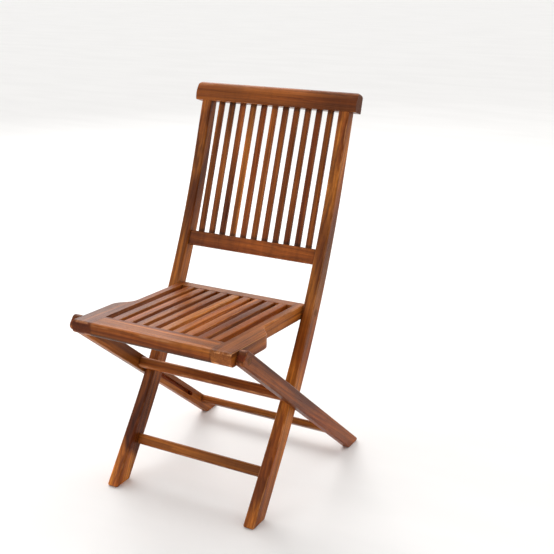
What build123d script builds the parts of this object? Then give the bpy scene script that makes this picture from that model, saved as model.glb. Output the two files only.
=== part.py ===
from build123d import *
import math
import os

# Slatted folding chair in oiled hardwood. Millimetres, +Z up, open for sitting on.
# The chair faces -Y, X = 0 is its middle plane, and Z = 0 is the floor.

# ---- back posts, which run down into the front legs -------------------------------
POST_OUTER_X = 201.0        # outer face, from the middle plane
POST_THICKNESS = 27.0
FOOT_Y = -185.1             # centre of the front foot on the floor
LOWER_LEAN = math.radians(36.4)     # lean from vertical of the straight front leg
UPPER_LEAN = math.radians(19.0)     # lean of the straight top of the post
LOWER_RUN = 160.0           # straight length up from the floor
BEND_RADIUS = 2180.0        # of the centre line between the two straight runs
POST_LENGTH = 962.8         # along the centre line, floor to the underside of the top rail
POST_DEPTH_FOOT = 45.0      # front to back, square to the centre line
POST_DEPTH_TOP = 28.5
POST_ROUNDING = 4.0
POST_FOOT_ROUNDING = 4.5    # of the foot's front and rear edges on the floor
POST_TENON_DEPTH = 12.0     # tenon into the top rail
POST_TENON_WIDTH = 18.0

# ---- places along the post's centre line, from the floor ---------------------------
STRETCHER_AT = 114.0
CROSSING_AT = 286.0         # pin between the post and the rear leg
SEAT_PIVOT_AT = 494.0
LOWER_RAIL_AT = 621.0

# ---- back rails and slats ----------------------------------------------------------
TOP_RAIL_LENGTH = 436.0
TOP_RAIL_HEIGHT = 46.0
TOP_RAIL_FRONT = -15.0      # front and rear faces, from the post's centre line
TOP_RAIL_REAR = 14.0
TOP_RAIL_BULGE = 3.0        # how far the front face swells
TOP_RAIL_BULGE_AT = 0.45    # height of the fullest point, as a share of the rail's height
TOP_RAIL_DRAW_IN = 3.0      # how far the front face leans in where the rolled top starts
TOP_RAIL_ROLL_FRONT = 7.0   # drop of the rolled top at the front and at the rear
TOP_RAIL_ROLL_REAR = 8.0
TOP_RAIL_REAR_DRAW_IN = 1.0
TOP_RAIL_EDGE = 3.0         # rounding of the two lower edges
TOP_RAIL_CORNER = 9.0       # rounding of the two upper ends
LOWER_RAIL_HEIGHT = 36.0
LOWER_RAIL_DEPTH = 20.0
LOWER_RAIL_SETBACK = -1.5   # of its middle from the post's centre line
LOWER_RAIL_ROUNDING = 4.0
BACK_SLATS = 11
BACK_SLAT_PITCH = 29.8
BACK_SLAT_WIDTH = 14.0
BACK_SLAT_DEPTH = 10.0
BACK_SLAT_ROUNDING = 2.0

# ---- seat ---------------------------------------------------------------------------
SEAT_TILT = math.radians(3.3)       # front edge higher
SEAT_THICKNESS = 32.0
SEAT_FRONT = 374.0          # forward of the rear pivot, along the seat
SIDE_INNER_X = 154.5
SIDE_REAR_X = 173.0         # outer face of the narrow rear part, just inside the posts
SIDE_FRONT_X = 203.0        # outer face of the wide front part, just inside the rear legs
STEP_REAR = 180.0           # the outline swings from narrow to wide between these
STEP_FRONT = 240.0
FRONT_RAIL_DEPTH = 54.0
REAR_RAIL_FROM = -5.0
REAR_RAIL_TO = 25.0
REAR_RAIL_ROUNDING = 4.0
SEAT_SLATS = 9
SEAT_SLAT_PITCH = 32.0
SEAT_SLAT_WIDTH = 20.0
SEAT_SLAT_THICKNESS = 16.0
SEAT_SLAT_CROWN = 5.0       # rounding of the two upper edges
SEAT_SLAT_ROUNDING = 2.0    # and of the two lower ones
SEAT_SLAT_DROP = 0.5        # of the slats below the top of the seat's frame
SEAT_NOSE = 8.0             # rounding of the top front edge
SEAT_CHIN = 13.0            # rounding of the lower front edge
SIDE_ROUNDING = 3.0

# ---- rear legs ----------------------------------------------------------------------
LEG_INNER_X = 204.0
LEG_THICKNESS = 20.0
LEG_PIVOT_FORWARD = 337.0   # leg pivot in the seat's side, forward of the rear pivot
LEG_PIVOT_DROP = 5.8        # and below the middle of the seat's thickness
LEG_DEPTH = 35.4
LEG_END = 20.5              # from the pivot to the top end
LEG_END_CORNER = 11.0
LEG_ROUNDING = 3.0
LEG_FOOT_ROUNDING = 4.5
UPPER_STRETCHER_AT = 262.5  # from the leg pivot, along the leg
UPPER_STRETCHER_SIZE = (21.0, 25.0)     # along and square to the leg
UPPER_STRETCHER_ROUNDING = 7.0
LOWER_STRETCHER_AT = 602.0
LOWER_STRETCHER_RISE = 8.0              # above the leg's centre line
LOWER_STRETCHER_SIZE = (27.0, 18.0)
LOWER_STRETCHER_ROUNDING = 6.0
FOLD = math.radians(90.0)   # how far the seat turns up when the chair is folded

# ---- front stretcher ----------------------------------------------------------------
STRETCHER_HEIGHT = 25.0
STRETCHER_DEPTH = 18.0
STRETCHER_SETBACK = 11.0    # of its middle, behind the post's centre line
STRETCHER_ROUNDING = 6.0

# ---- joinery and hardware -----------------------------------------------------------
TENON = 12.0                # length of the rail and stretcher tenons
TENON_DEPTH_SHARE = 0.5     # tenon size as a share of its rail's
TENON_HEIGHT_SHARE = 0.6
FRONT_TENON = (24.0, 10.667)    # front rail's tenon, front to back and through the seat
FRONT_TENON_SETBACK = 21.6      # of its middle from the seat's front
REAR_TENON = (12.0, 10.0)       # rear rail's tenon, the same way
REAR_TENON_SETBACK = 9.0        # of its middle from the rail's front
SLAT_HOUSING = 8.0          # how deep the slats are let into their rails
REAR_RAIL_TENON = 10.0
PIN_R = 5.0
RUNNING_GAP = 0.05          # radial, between a pin and the hole it turns in
PLUG_R = 7.0
PLUG_DEPTH = 6.0
PLUG_PROUD = 0.4
PIN_END_GAP = 0.5
SEAT_PIN_INNER_X = 157.5
LEG_PIN_INNER_X = 176.0
BOLT_R = 4.0
BOLT_RECESS_R = 5.0
BOLT_RECESS_DEPTH = 4.0
SLOT_WIDTH = 11.0
SLOT_DEPTH = 12.0
SLOT_SPARE = 2.0            # length of the slot beyond the pin's travel
SLOT_PIN_R = 5.45
COLLAR_R = 8.0
COLLAR_GAP = 0.3            # between the sliding pin's collar and the wood on each side

# ---- allowances for cutting ----------------------------------------------------------
POST_ALLOWANCE = 60.0       # length left below the floor before the feet are cut level
LEG_ALLOWANCE = 450.0       # length left beyond the crossing pin
LONG_POST_EDGE = 60.0       # shortest edge that gets the post's rounding
LONG_BOARD_EDGE = 50.0
LONG_LEG_EDGE = 15.0
BLOCK = 1000.0              # half of a block larger than the whole chair

POST_INNER_X = POST_OUTER_X - POST_THICKNESS
LEG_OUTER_X = LEG_INNER_X + LEG_THICKNESS


# ---- the post's centre line and the frames hung on it --------------------------------
def post_axis(s):
    """Place (y, z) and lean of the post's centre line, s mm up from the floor."""
    bend = min(max(s - LOWER_RUN, 0.0) / BEND_RADIUS, LOWER_LEAN - UPPER_LEAN)
    lean = LOWER_LEAN - bend
    low = min(s, LOWER_RUN)
    high = max(s - LOWER_RUN - BEND_RADIUS * (LOWER_LEAN - UPPER_LEAN), 0.0)
    y = FOOT_Y + low * math.sin(LOWER_LEAN) + high * math.sin(UPPER_LEAN)
    y += BEND_RADIUS * (math.cos(lean) - math.cos(LOWER_LEAN))
    z = low * math.cos(LOWER_LEAN) + high * math.cos(UPPER_LEAN)
    z += BEND_RADIUS * (math.sin(LOWER_LEAN) - math.sin(lean))
    return y, z, lean


def post_frame(s, back=0.0):
    """Frame on the post: local x points back across it, y up along it, z is +X."""
    y, z, lean = post_axis(s)
    across = (0, math.cos(lean), -math.sin(lean))
    origin = (0, y + back * across[1], z + back * across[2])
    return Plane(origin=origin, x_dir=across, z_dir=(1, 0, 0))


# ---- seat and leg geometry ------------------------------------------------------------
A_Y, A_Z, _ = post_axis(SEAT_PIVOT_AT)
C_Y, C_Z, _ = post_axis(CROSSING_AT)
FORWARD = (-math.cos(SEAT_TILT), math.sin(SEAT_TILT))
UP = (math.sin(SEAT_TILT), math.cos(SEAT_TILT))
B_Y = A_Y + LEG_PIVOT_FORWARD * FORWARD[0] - LEG_PIVOT_DROP * UP[0]
B_Z = A_Z + LEG_PIVOT_FORWARD * FORWARD[1] - LEG_PIVOT_DROP * UP[1]
SEAT_LINK = math.dist((A_Y, A_Z), (B_Y, B_Z))
POST_LINK = math.dist((A_Y, A_Z), (C_Y, C_Z))
OPEN_REACH = math.dist((B_Y, B_Z), (C_Y, C_Z))
OPEN_ANGLE = math.acos(
    (SEAT_LINK**2 + POST_LINK**2 - OPEN_REACH**2) / (2 * SEAT_LINK * POST_LINK)
)
FOLDED_REACH = math.sqrt(
    SEAT_LINK**2 + POST_LINK**2 - 2 * SEAT_LINK * POST_LINK * math.cos(OPEN_ANGLE + FOLD)
)
DOWN_LEG = ((C_Y - B_Y) / OPEN_REACH, (C_Z - B_Z) / OPEN_REACH)

# Local x runs forward along the seat, y is +X and z is square to the seat.
SEAT_FRAME = Plane(origin=(0, A_Y, A_Z), x_dir=(0, *FORWARD), z_dir=(0, *UP))
# Local x runs down the rear leg from its pivot, y is square to it and z is +X.
LEG_FRAME = Plane(origin=(0, B_Y, B_Z), x_dir=(0, *DOWN_LEG), z_dir=(1, 0, 0))


# ---- helpers ---------------------------------------------------------------------------
def pin(y, z, x_from, x_to, radius):
    """Cylinder along X through (y, z)."""
    return extrude(Plane.YZ.offset(x_from) * Pos(y, z) * Circle(radius), amount=x_to - x_from)


def plug(y, z, face_x):
    """Wood plug that closes a pin's hole and stands a little proud of the face."""
    disc = pin(y, z, face_x - PLUG_DEPTH, face_x + PLUG_PROUD, PLUG_R)
    return chamfer(disc.edges().sort_by(Axis.X)[-1], PLUG_PROUD)


def rail_tenon(depth, height, length, tenon):
    """The tenons of a rail as one bar, which also cuts their mortises."""
    return Box(depth * TENON_DEPTH_SHARE, height * TENON_HEIGHT_SHARE, length + 2 * tenon)


def rail(depth, height, length, tenon, rounding):
    """Straight rail along local z with rounded long edges and a tenon on each end."""
    bar = Box(depth, height, length)
    bar = fillet(bar.edges().filter_by(Axis.Z), rounding)
    return bar + rail_tenon(depth, height, length, tenon)


def both_sides(name, part):
    """The given right-hand piece and its mirror image on the left."""
    return {f"right_{name}": part, f"left_{name}": mirror(part, about=Plane.YZ)}


# ---- back frame ------------------------------------------------------------------------
def post_edge(side):
    """One long edge of the post's outline: side -1 is the front, +1 the back."""
    taper = math.atan((POST_DEPTH_FOOT - POST_DEPTH_TOP) / 2 / POST_LENGTH)
    half = POST_DEPTH_FOOT / 2
    lean = LOWER_LEAN - side * taper
    direction = Vector(math.sin(lean), math.cos(lean))
    start = Vector(FOOT_Y + side * half * math.cos(lean), -side * half * math.sin(lean))
    low = Line(start - direction * POST_ALLOWANCE, start + direction * LOWER_RUN)
    bend = math.degrees(LOWER_LEAN - UPPER_LEAN)
    mid_half = (POST_DEPTH_FOOT + POST_DEPTH_TOP) / 4
    arc = JernArc(low @ 1, low % 1, BEND_RADIUS + side * mid_half, bend)
    high = Line(arc @ 1, (arc @ 1) + (arc % 1) * (POST_LENGTH / 2))
    return low + arc + high


def post_outline():
    front, back = post_edge(-1), post_edge(1)
    ends = Line(front @ 0, back @ 0) + Line(front @ 1, back @ 1)
    strip = make_face(front + back + ends)
    y, z, lean = post_axis(POST_LENGTH)
    above = Location((y, z), -math.degrees(lean))
    strip = strip & Pos(0, BLOCK) * Rectangle(2 * BLOCK, 2 * BLOCK)
    strip -= above * Pos(0, BLOCK) * Rectangle(2 * BLOCK, 2 * BLOCK)
    feet = strip.vertices().group_by(Axis.Y)[0]
    return fillet(feet, POST_FOOT_ROUNDING)


def right_post():
    post = extrude(Plane.YZ.offset(POST_INNER_X) * post_outline(), amount=POST_THICKNESS)
    sides = post.faces().filter_by(Axis.X)
    post = fillet(sides.edges().filter_by(lambda e: e.length > LONG_POST_EDGE), POST_ROUNDING)
    post += post_frame(POST_LENGTH) * post_top_tenon()
    post -= lower_rail_frame() * rail_tenon(
        LOWER_RAIL_DEPTH, LOWER_RAIL_HEIGHT, 2 * POST_INNER_X, TENON)
    post -= stretcher_frame() * rail_tenon(
        STRETCHER_DEPTH, STRETCHER_HEIGHT, 2 * POST_INNER_X, TENON)
    post -= pin(A_Y, A_Z, POST_INNER_X, POST_OUTER_X, PIN_R)
    post -= pin(A_Y, A_Z, POST_OUTER_X - PLUG_DEPTH, POST_OUTER_X, PLUG_R)
    post -= pin(C_Y, C_Z, POST_INNER_X, POST_OUTER_X, BOLT_R)
    post -= pin(C_Y, C_Z, POST_INNER_X, POST_INNER_X + BOLT_RECESS_DEPTH, BOLT_RECESS_R)
    return post


def post_top_tenon():
    """Tenon of the right-hand post into the underside of the top rail."""
    middle = (POST_INNER_X + POST_OUTER_X) / 2
    return Pos(0, 0, middle) * Box(POST_TENON_DEPTH, 2 * TENON, POST_TENON_WIDTH)


def lower_rail_frame():
    return post_frame(LOWER_RAIL_AT, LOWER_RAIL_SETBACK)


def stretcher_frame():
    return post_frame(STRETCHER_AT, STRETCHER_SETBACK)


def back_slats():
    """The upright slats, let into both back rails."""
    low_y, low_z, _ = post_axis(LOWER_RAIL_AT + LOWER_RAIL_HEIGHT / 2)
    top_y, top_z, _ = post_axis(POST_LENGTH)
    length = math.dist((low_y, low_z), (top_y, top_z)) + 2 * SLAT_HOUSING
    frame = Plane(
        origin=(0, (low_y + top_y) / 2, (low_z + top_z) / 2),
        x_dir=(1, 0, 0),
        z_dir=(0, top_y - low_y, top_z - low_z),
    )
    bar = Box(BACK_SLAT_WIDTH, BACK_SLAT_DEPTH, length)
    bar = fillet(bar.edges().filter_by(Axis.Z), BACK_SLAT_ROUNDING)
    first = -(BACK_SLATS - 1) / 2 * BACK_SLAT_PITCH
    return [frame * Pos(first + i * BACK_SLAT_PITCH) * bar for i in range(BACK_SLATS)]


def top_rail():
    """Rail with a swelled front and rolled top, its upper ends rounded."""
    height, front, rear = TOP_RAIL_HEIGHT, TOP_RAIL_FRONT, TOP_RAIL_REAR
    belly = ThreePointArc(
        (front, 0), (front - TOP_RAIL_BULGE, height * TOP_RAIL_BULGE_AT),
        (front + TOP_RAIL_DRAW_IN, height - TOP_RAIL_ROLL_FRONT))
    roll = ThreePointArc(
        belly @ 1, (0, height), (rear - TOP_RAIL_REAR_DRAW_IN, height - TOP_RAIL_ROLL_REAR))
    section = make_face(belly + roll + Line(roll @ 1, (rear, 0)) + Line((rear, 0), (front, 0)))
    section = fillet(section.vertices().group_by(Axis.Y)[0], TOP_RAIL_EDGE)
    bar = extrude(section, amount=TOP_RAIL_LENGTH / 2, both=True)
    ends = Rectangle(TOP_RAIL_LENGTH, 2 * height)
    ends = fillet(ends.vertices().group_by(Axis.Y)[-1], TOP_RAIL_CORNER)
    front_view = Plane(origin=(0, 0, 0), x_dir=(0, 0, 1), z_dir=(-1, 0, 0))
    bar &= extrude(front_view * ends, amount=BLOCK, both=True)
    bar = post_frame(POST_LENGTH) * bar
    for side in (1, -1):
        tenon = post_frame(POST_LENGTH) * post_top_tenon()
        bar -= tenon if side > 0 else mirror(tenon, about=Plane.YZ)
    return cut(bar, back_slats())


def lower_back_rail():
    bar = rail(
        LOWER_RAIL_DEPTH, LOWER_RAIL_HEIGHT, 2 * POST_INNER_X, TENON, LOWER_RAIL_ROUNDING)
    return cut(lower_rail_frame() * bar, back_slats())


def front_stretcher():
    return stretcher_frame() * rail(
        STRETCHER_DEPTH, STRETCHER_HEIGHT, 2 * POST_INNER_X, TENON, STRETCHER_ROUNDING)


def seat_pivot_pin():
    return pin(A_Y, A_Z, SEAT_PIN_INNER_X, POST_OUTER_X - PLUG_DEPTH, PIN_R)


def crossing_bolt():
    return pin(C_Y, C_Z, POST_INNER_X + BOLT_RECESS_DEPTH, POST_OUTER_X, BOLT_R)


# ---- seat --------------------------------------------------------------------------------
def seat_side_view():
    """Bar along X with the seat's side view: round at the rear pivot, rolled in front."""
    half = SEAT_THICKNESS / 2
    body = Pos(SEAT_FRONT / 2, 0) * Rectangle(SEAT_FRONT, SEAT_THICKNESS)
    nose = body.vertices().group_by(Axis.X)[-1].sort_by(Axis.Y)[-1]
    body = fillet(nose, SEAT_NOSE)
    chin = body.vertices().filter_by(lambda v: v.Y < 0).sort_by(Axis.X)[-1]
    body = fillet(chin, SEAT_CHIN)
    body += Circle(half)
    return extrude(Plane.XZ * body, amount=BLOCK, both=True)


def right_seat_side():
    """Side board: narrow between the posts, swinging out to full width in front."""
    swing = (STEP_FRONT - STEP_REAR) / 2
    rear = -SEAT_THICKNESS / 2
    step = Bezier(
        (STEP_REAR, SIDE_REAR_X), (STEP_REAR + swing, SIDE_REAR_X),
        (STEP_FRONT - swing, SIDE_FRONT_X), (STEP_FRONT, SIDE_FRONT_X))
    corners = [
        (STEP_FRONT, SIDE_FRONT_X), (SEAT_FRONT, SIDE_FRONT_X), (SEAT_FRONT, SIDE_INNER_X),
        (rear, SIDE_INNER_X), (rear, SIDE_REAR_X), (STEP_REAR, SIDE_REAR_X)]
    board = extrude(make_face(step + Polyline(*corners)), amount=SEAT_THICKNESS / 2, both=True)
    outer = board.edges().filter_by(lambda e: e.center().Y > (SIDE_INNER_X + SIDE_REAR_X) / 2)
    flat = outer.filter_by(lambda e: abs(abs(e.center().Z) - SEAT_THICKNESS / 2) < 0.1)
    board = fillet(flat.filter_by(lambda e: e.length > LONG_BOARD_EDGE), SIDE_ROUNDING)
    board = SEAT_FRAME * (board & seat_side_view())
    board = cut(board, [SEAT_FRAME * front_rail_tenon(), SEAT_FRAME * rear_rail_tenon()])
    board -= pin(A_Y, A_Z, SEAT_PIN_INNER_X - PIN_END_GAP, SIDE_REAR_X, PIN_R + RUNNING_GAP)
    board -= pin(B_Y, B_Z, LEG_PIN_INNER_X - PIN_END_GAP, SIDE_FRONT_X, PIN_R + RUNNING_GAP)
    return board


def front_rail_tenon():
    depth, thickness = FRONT_TENON
    return Pos(SEAT_FRONT - FRONT_TENON_SETBACK) * Box(
        depth, 2 * (SIDE_INNER_X + TENON), thickness)


def rear_rail_tenon():
    depth, thickness = REAR_TENON
    return Pos(REAR_RAIL_TO - REAR_TENON_SETBACK) * Box(
        depth, 2 * (SIDE_INNER_X + REAR_RAIL_TENON), thickness)


def seat_slats():
    """The slats that run from the rear rail to the front rail, flush with the top."""
    start = REAR_RAIL_TO - SLAT_HOUSING
    length = SEAT_FRONT - FRONT_RAIL_DEPTH + SLAT_HOUSING - start
    bar = Box(length, SEAT_SLAT_WIDTH, SEAT_SLAT_THICKNESS)
    long_edges = bar.edges().filter_by(Axis.X).group_by(Axis.Z)
    bar = fillet(long_edges[-1], SEAT_SLAT_CROWN)
    bar = fillet(bar.edges().filter_by(Axis.X).group_by(Axis.Z)[0], SEAT_SLAT_ROUNDING)
    height = (SEAT_THICKNESS - SEAT_SLAT_THICKNESS) / 2 - SEAT_SLAT_DROP
    first = -(SEAT_SLATS - 1) / 2 * SEAT_SLAT_PITCH
    return [
        SEAT_FRAME * Pos(start + length / 2, first + i * SEAT_SLAT_PITCH, height) * bar
        for i in range(SEAT_SLATS)
    ]


def seat_front_rail():
    middle = SEAT_FRONT - FRONT_RAIL_DEPTH / 2
    bar = Pos(middle) * Box(FRONT_RAIL_DEPTH, 2 * SIDE_INNER_X, SEAT_THICKNESS)
    bar = (bar & seat_side_view()) + front_rail_tenon()
    return cut(SEAT_FRAME * bar, seat_slats())


def seat_rear_rail():
    depth = REAR_RAIL_TO - REAR_RAIL_FROM
    bar = Box(depth, 2 * SIDE_INNER_X, SEAT_THICKNESS)
    rear_edges = bar.edges().filter_by(Axis.Y).group_by(Axis.X)[0]
    bar = Pos(REAR_RAIL_FROM + depth / 2) * fillet(rear_edges, REAR_RAIL_ROUNDING)
    bar += rear_rail_tenon()
    return cut(SEAT_FRAME * bar, seat_slats())


# ---- rear legs ------------------------------------------------------------------------------
def upper_stretcher_frame():
    return LEG_FRAME * Pos(UPPER_STRETCHER_AT)


def lower_stretcher_frame():
    return LEG_FRAME * Pos(LOWER_STRETCHER_AT, LOWER_STRETCHER_RISE)


def leg_outline():
    """Side view of the rear leg in its own frame, running on below the floor."""
    length = LEG_END + OPEN_REACH + LEG_ALLOWANCE
    outline = Pos(length / 2 - LEG_END) * Rectangle(length, LEG_DEPTH)
    return fillet(outline.vertices().group_by(Axis.X)[0], LEG_END_CORNER)


def right_rear_leg():
    leg = LEG_FRAME * Pos(0, 0, LEG_INNER_X) * extrude(leg_outline(), amount=LEG_THICKNESS)
    leg &= Pos(0, 0, BLOCK) * Box(2 * BLOCK, 2 * BLOCK, 2 * BLOCK)
    leg = fillet(leg.faces().filter_by(Axis.Z).edges().filter_by(Axis.X), LEG_FOOT_ROUNDING)
    side_edges = leg.faces().filter_by(Axis.X).edges()
    leg = fillet(side_edges.filter_by(lambda e: e.length > LONG_LEG_EDGE), LEG_ROUNDING)
    travel = FOLDED_REACH - OPEN_REACH
    slot = Pos(OPEN_REACH + travel / 2) * SlotCenterToCenter(travel + SLOT_SPARE, SLOT_WIDTH)
    leg -= LEG_FRAME * Pos(0, 0, LEG_INNER_X) * extrude(slot, amount=SLOT_DEPTH)
    tenons = [
        upper_stretcher_frame() * rail_tenon(*UPPER_STRETCHER_SIZE, 2 * LEG_INNER_X, TENON),
        lower_stretcher_frame() * rail_tenon(*LOWER_STRETCHER_SIZE, 2 * LEG_INNER_X, TENON)]
    leg = cut(leg, tenons)
    leg -= pin(B_Y, B_Z, LEG_INNER_X, LEG_OUTER_X, PIN_R)
    leg -= pin(B_Y, B_Z, LEG_OUTER_X - PLUG_DEPTH, LEG_OUTER_X, PLUG_R)
    return leg


def leg_pivot_pin():
    return pin(B_Y, B_Z, LEG_PIN_INNER_X, LEG_OUTER_X - PLUG_DEPTH, PIN_R)


def slot_pin():
    """Pin that rides in the leg's slot, with a collar between the leg and the post."""
    collar_from = POST_OUTER_X + COLLAR_GAP
    collar = pin(C_Y, C_Z, collar_from, LEG_INNER_X - COLLAR_GAP, COLLAR_R)
    return collar + pin(C_Y, C_Z, collar_from, LEG_INNER_X + SLOT_DEPTH - PIN_END_GAP, SLOT_PIN_R)


def cut(part, tools):
    for tool in tools:
        part -= tool
    return part


def pieces():
    """Every piece of the chair by name."""
    found = {}
    found |= both_sides("post", right_post())
    found["top_rail"] = top_rail()
    found["lower_back_rail"] = lower_back_rail()
    for i, slat in enumerate(back_slats(), 1):
        found[f"back_slat_{i:02d}"] = slat
    found["front_stretcher"] = front_stretcher()
    found |= both_sides("seat_pivot_pin", seat_pivot_pin())
    found |= both_sides("post_plug", plug(A_Y, A_Z, POST_OUTER_X))
    found |= both_sides("crossing_bolt", crossing_bolt())
    found |= both_sides("seat_side", right_seat_side())
    found["seat_front_rail"] = seat_front_rail()
    found["seat_rear_rail"] = seat_rear_rail()
    for i, slat in enumerate(seat_slats(), 1):
        found[f"seat_slat_{i}"] = slat
    found |= both_sides("rear_leg", right_rear_leg())
    found["upper_stretcher"] = upper_stretcher_frame() * rail(
        *UPPER_STRETCHER_SIZE, 2 * LEG_INNER_X, TENON, UPPER_STRETCHER_ROUNDING)
    found["lower_stretcher"] = lower_stretcher_frame() * rail(
        *LOWER_STRETCHER_SIZE, 2 * LEG_INNER_X, TENON, LOWER_STRETCHER_ROUNDING)
    found |= both_sides("leg_pivot_pin", leg_pivot_pin())
    found |= both_sides("leg_plug", plug(B_Y, B_Z, LEG_OUTER_X))
    found |= both_sides("slot_pin", slot_pin())
    return found


os.makedirs("parts", exist_ok=True)
for name, part in pieces().items():
    export_step(part, f"parts/{name}.step")
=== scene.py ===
import math

import bpy
import numpy as np
from mathutils import Matrix, Vector


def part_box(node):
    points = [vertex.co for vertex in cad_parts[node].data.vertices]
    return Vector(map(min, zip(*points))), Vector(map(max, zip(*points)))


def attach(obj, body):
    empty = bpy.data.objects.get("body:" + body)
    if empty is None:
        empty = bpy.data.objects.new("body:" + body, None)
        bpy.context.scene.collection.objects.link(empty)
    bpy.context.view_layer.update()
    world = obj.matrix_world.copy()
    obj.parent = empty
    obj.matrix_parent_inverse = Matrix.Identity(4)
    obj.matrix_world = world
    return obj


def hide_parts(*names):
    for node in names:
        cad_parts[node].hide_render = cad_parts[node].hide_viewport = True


bl_info = {
    "name": "Slatted Folding Chair",
    "version": (1, 0, 0),
    "blender": (4, 5, 0),
    "location": "View3D > Sidebar > Chair",
    "description": "Dresses the folding chair: slats, plugs, oiled wood, steel pins and a small studio",
    "category": "Object",
}

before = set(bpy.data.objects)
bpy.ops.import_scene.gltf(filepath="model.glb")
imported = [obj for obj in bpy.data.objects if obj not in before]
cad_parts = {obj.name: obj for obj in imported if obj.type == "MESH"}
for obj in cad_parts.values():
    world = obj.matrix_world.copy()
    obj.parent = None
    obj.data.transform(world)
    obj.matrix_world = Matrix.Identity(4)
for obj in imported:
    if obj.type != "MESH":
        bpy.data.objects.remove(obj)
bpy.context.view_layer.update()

BACK_SLATS = [f"back_slat_{i:02d}" for i in range(1, 12)]
SEAT_SLATS = [f"seat_slat_{i}" for i in range(1, 10)]

# Stain of each slat, left to right, as a multiplier of the wood's own colour.
BACK_SLAT_STAINS = [
    (1.00, 0.92, 0.85), (0.92, 0.86, 0.80), (1.05, 0.95, 0.85), (1.38, 1.42, 1.25),
    (0.95, 0.86, 0.78), (1.12, 1.02, 0.90), (0.84, 0.74, 0.68), (1.02, 0.88, 0.78),
    (0.92, 0.78, 0.70), (0.80, 0.68, 0.62), (0.86, 0.76, 0.70),
]
SEAT_SLAT_STAINS = [
    (0.95, 0.90, 0.90), (1.05, 1.00, 1.00), (1.12, 1.06, 1.00), (1.20, 1.20, 1.05),
    (1.40, 1.48, 1.30), (1.18, 1.12, 1.00), (1.12, 1.06, 1.00), (1.02, 0.92, 0.86),
    (1.00, 0.92, 0.86),
]


# Leg grooves: side to side from just inside the leg's inner face to just short of its outer
# one, easing in over their edges, and half the width of the groove's floor, eased the same way.
GROOVE_INNER = (0.2042, 0.2050)
GROOVE_OUTER = (0.2234, 0.2228)
GROOVE_HALF = (0.0064, 0.0056)
GROOVE_TINT = (1.25, 0.85, 0.8)
PLUG_HALO = (0.0068, 0.0098)    # radii between which the soaked wood round a plug fades out
HALO_SHADE = 0.45
# Painted shade along a rail's lower front edge: how far back it reaches and how dark it is.
PAINTED_LIP_SHADE_REACH = 0.008               # over which the painted shade on a lower front edge fades out towards the back
PAINTED_LIP_SHADE = 0.22
SAWN_FACING = (0.6, 0.9)        # how squarely a face must meet the grain to count as sawn
WOOD_SPECULAR = 0.12

LAMPS = (("key", 2.6, (-2.4, 2.2, 2.8)), ("fill", 2.4, (-1.8, -2.8, 1.6)))  # name, size, place
LAMPS_AIM = (0.0, 0.0, 0.4)
FLOOR_DROP = -0.0002            # the floor lies just under the feet
CAMERA_TARGET = (-0.0021, 0.2668, 0.4120)


# ---- where the boards lie ------------------------------------------------------------
class Board:
    """Middle, turn and half size of a straight CAD piece. Its local x runs along the grain."""

    def __init__(self, node, across=False):
        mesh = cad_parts[node].data
        points = np.empty(len(mesh.vertices) * 3)
        mesh.vertices.foreach_get("co", points)
        points = np.unique(points.reshape(-1, 3).round(6), axis=0)
        side = points[:, 1:] - points[:, 1:].mean(axis=0)
        major = np.linalg.eigh(side.T @ side)[1][:, 1]
        if major[1] < 0:
            major = -major
        up = Vector((0.0, major[0], major[1]))
        width = Vector((1.0, 0.0, 0.0))
        first, second = (width, up) if across else (up, width)
        axes = (first, second, first.cross(second))
        self.turn = Matrix(axes).transposed()
        local = points @ np.array(self.turn)
        low, high = local.min(axis=0), local.max(axis=0)
        self.half = Vector((high - low) / 2)
        self.middle = self.turn @ Vector((high + low) / 2)

    @property
    def angles(self):
        return self.turn.to_euler("XYZ")


# ---- settings ------------------------------------------------------------------------
def length(name, description, default):
    return bpy.props.FloatProperty(
        name=name, description=description, default=default, min=0.0, precision=4,
        unit="LENGTH", subtype="DISTANCE")


def share(name, description, default, top=1.0):
    return bpy.props.FloatProperty(
        name=name, description=description, default=default, min=0.0, max=top, subtype="FACTOR")


def colour(name, description, default):
    return bpy.props.FloatVectorProperty(
        name=name, description=description, default=default, size=3, min=0.0, max=4.0,
        subtype="COLOR")


class ChairSlatSettings(bpy.types.PropertyGroup):
    """Sizes of the slats and plugs"""

    back_width: length("Back slat width", "Width of a back slat, side to side", 0.014)
    back_depth: length("Back slat depth", "Depth of a back slat, front to back", 0.010)
    back_rounding: length("Back slat rounding", "Rounding of a back slat's long edges", 0.0024)
    seat_width: length("Seat slat width", "Width of a seat slat, side to side", 0.020)
    seat_thickness: length("Seat slat thickness", "Thickness of a seat slat", 0.016)
    seat_crown: length("Seat slat crown", "Rounding of a seat slat's upper edges", 0.005)
    seat_rounding: length("Seat slat rounding", "Rounding of a seat slat's lower edges", 0.002)
    wander: length("Wander", "How far a slat may sit off its even place", 0.0003)
    plug_radius: length("Plug radius", "Radius of the wood plugs, just under their holes'", 0.0068)
    plug_dome: length("Plug dome", "How far a plug's middle stands above its rim", 0.0005)


class ChairFinishSettings(bpy.types.PropertyGroup):
    """Colours and gloss of the wood and the steel"""

    light: colour("Light wood", "Golden streaks of the heartwood", (0.52, 0.172, 0.024))
    middle: colour("Wood", "Body colour of the oiled wood", (0.272, 0.070, 0.011))
    dark: colour("Dark grain", "Late growth and mineral streaks", (0.050, 0.009, 0.003))
    end: colour("End grain", "Sawn ends, which soak up more oil", (0.120, 0.036, 0.010))
    # Lighter arrises are partly rubbed wear and partly a painted highlight of the rounded edges.
    worn_and_highlit: colour("Highlit and worn edge", "Arrises rubbed lighter by handling and painted lighter as highlights", (0.56, 0.25, 0.10))
    steel: colour("Steel", "Zinc-plated steel of the pins", (0.40, 0.39, 0.37))
    gloss: share("Gloss roughness", "Roughness of the oiled faces", 0.33)
    grain_relief: length("Grain relief", "Depth of the open pores", 0.00010)


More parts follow.
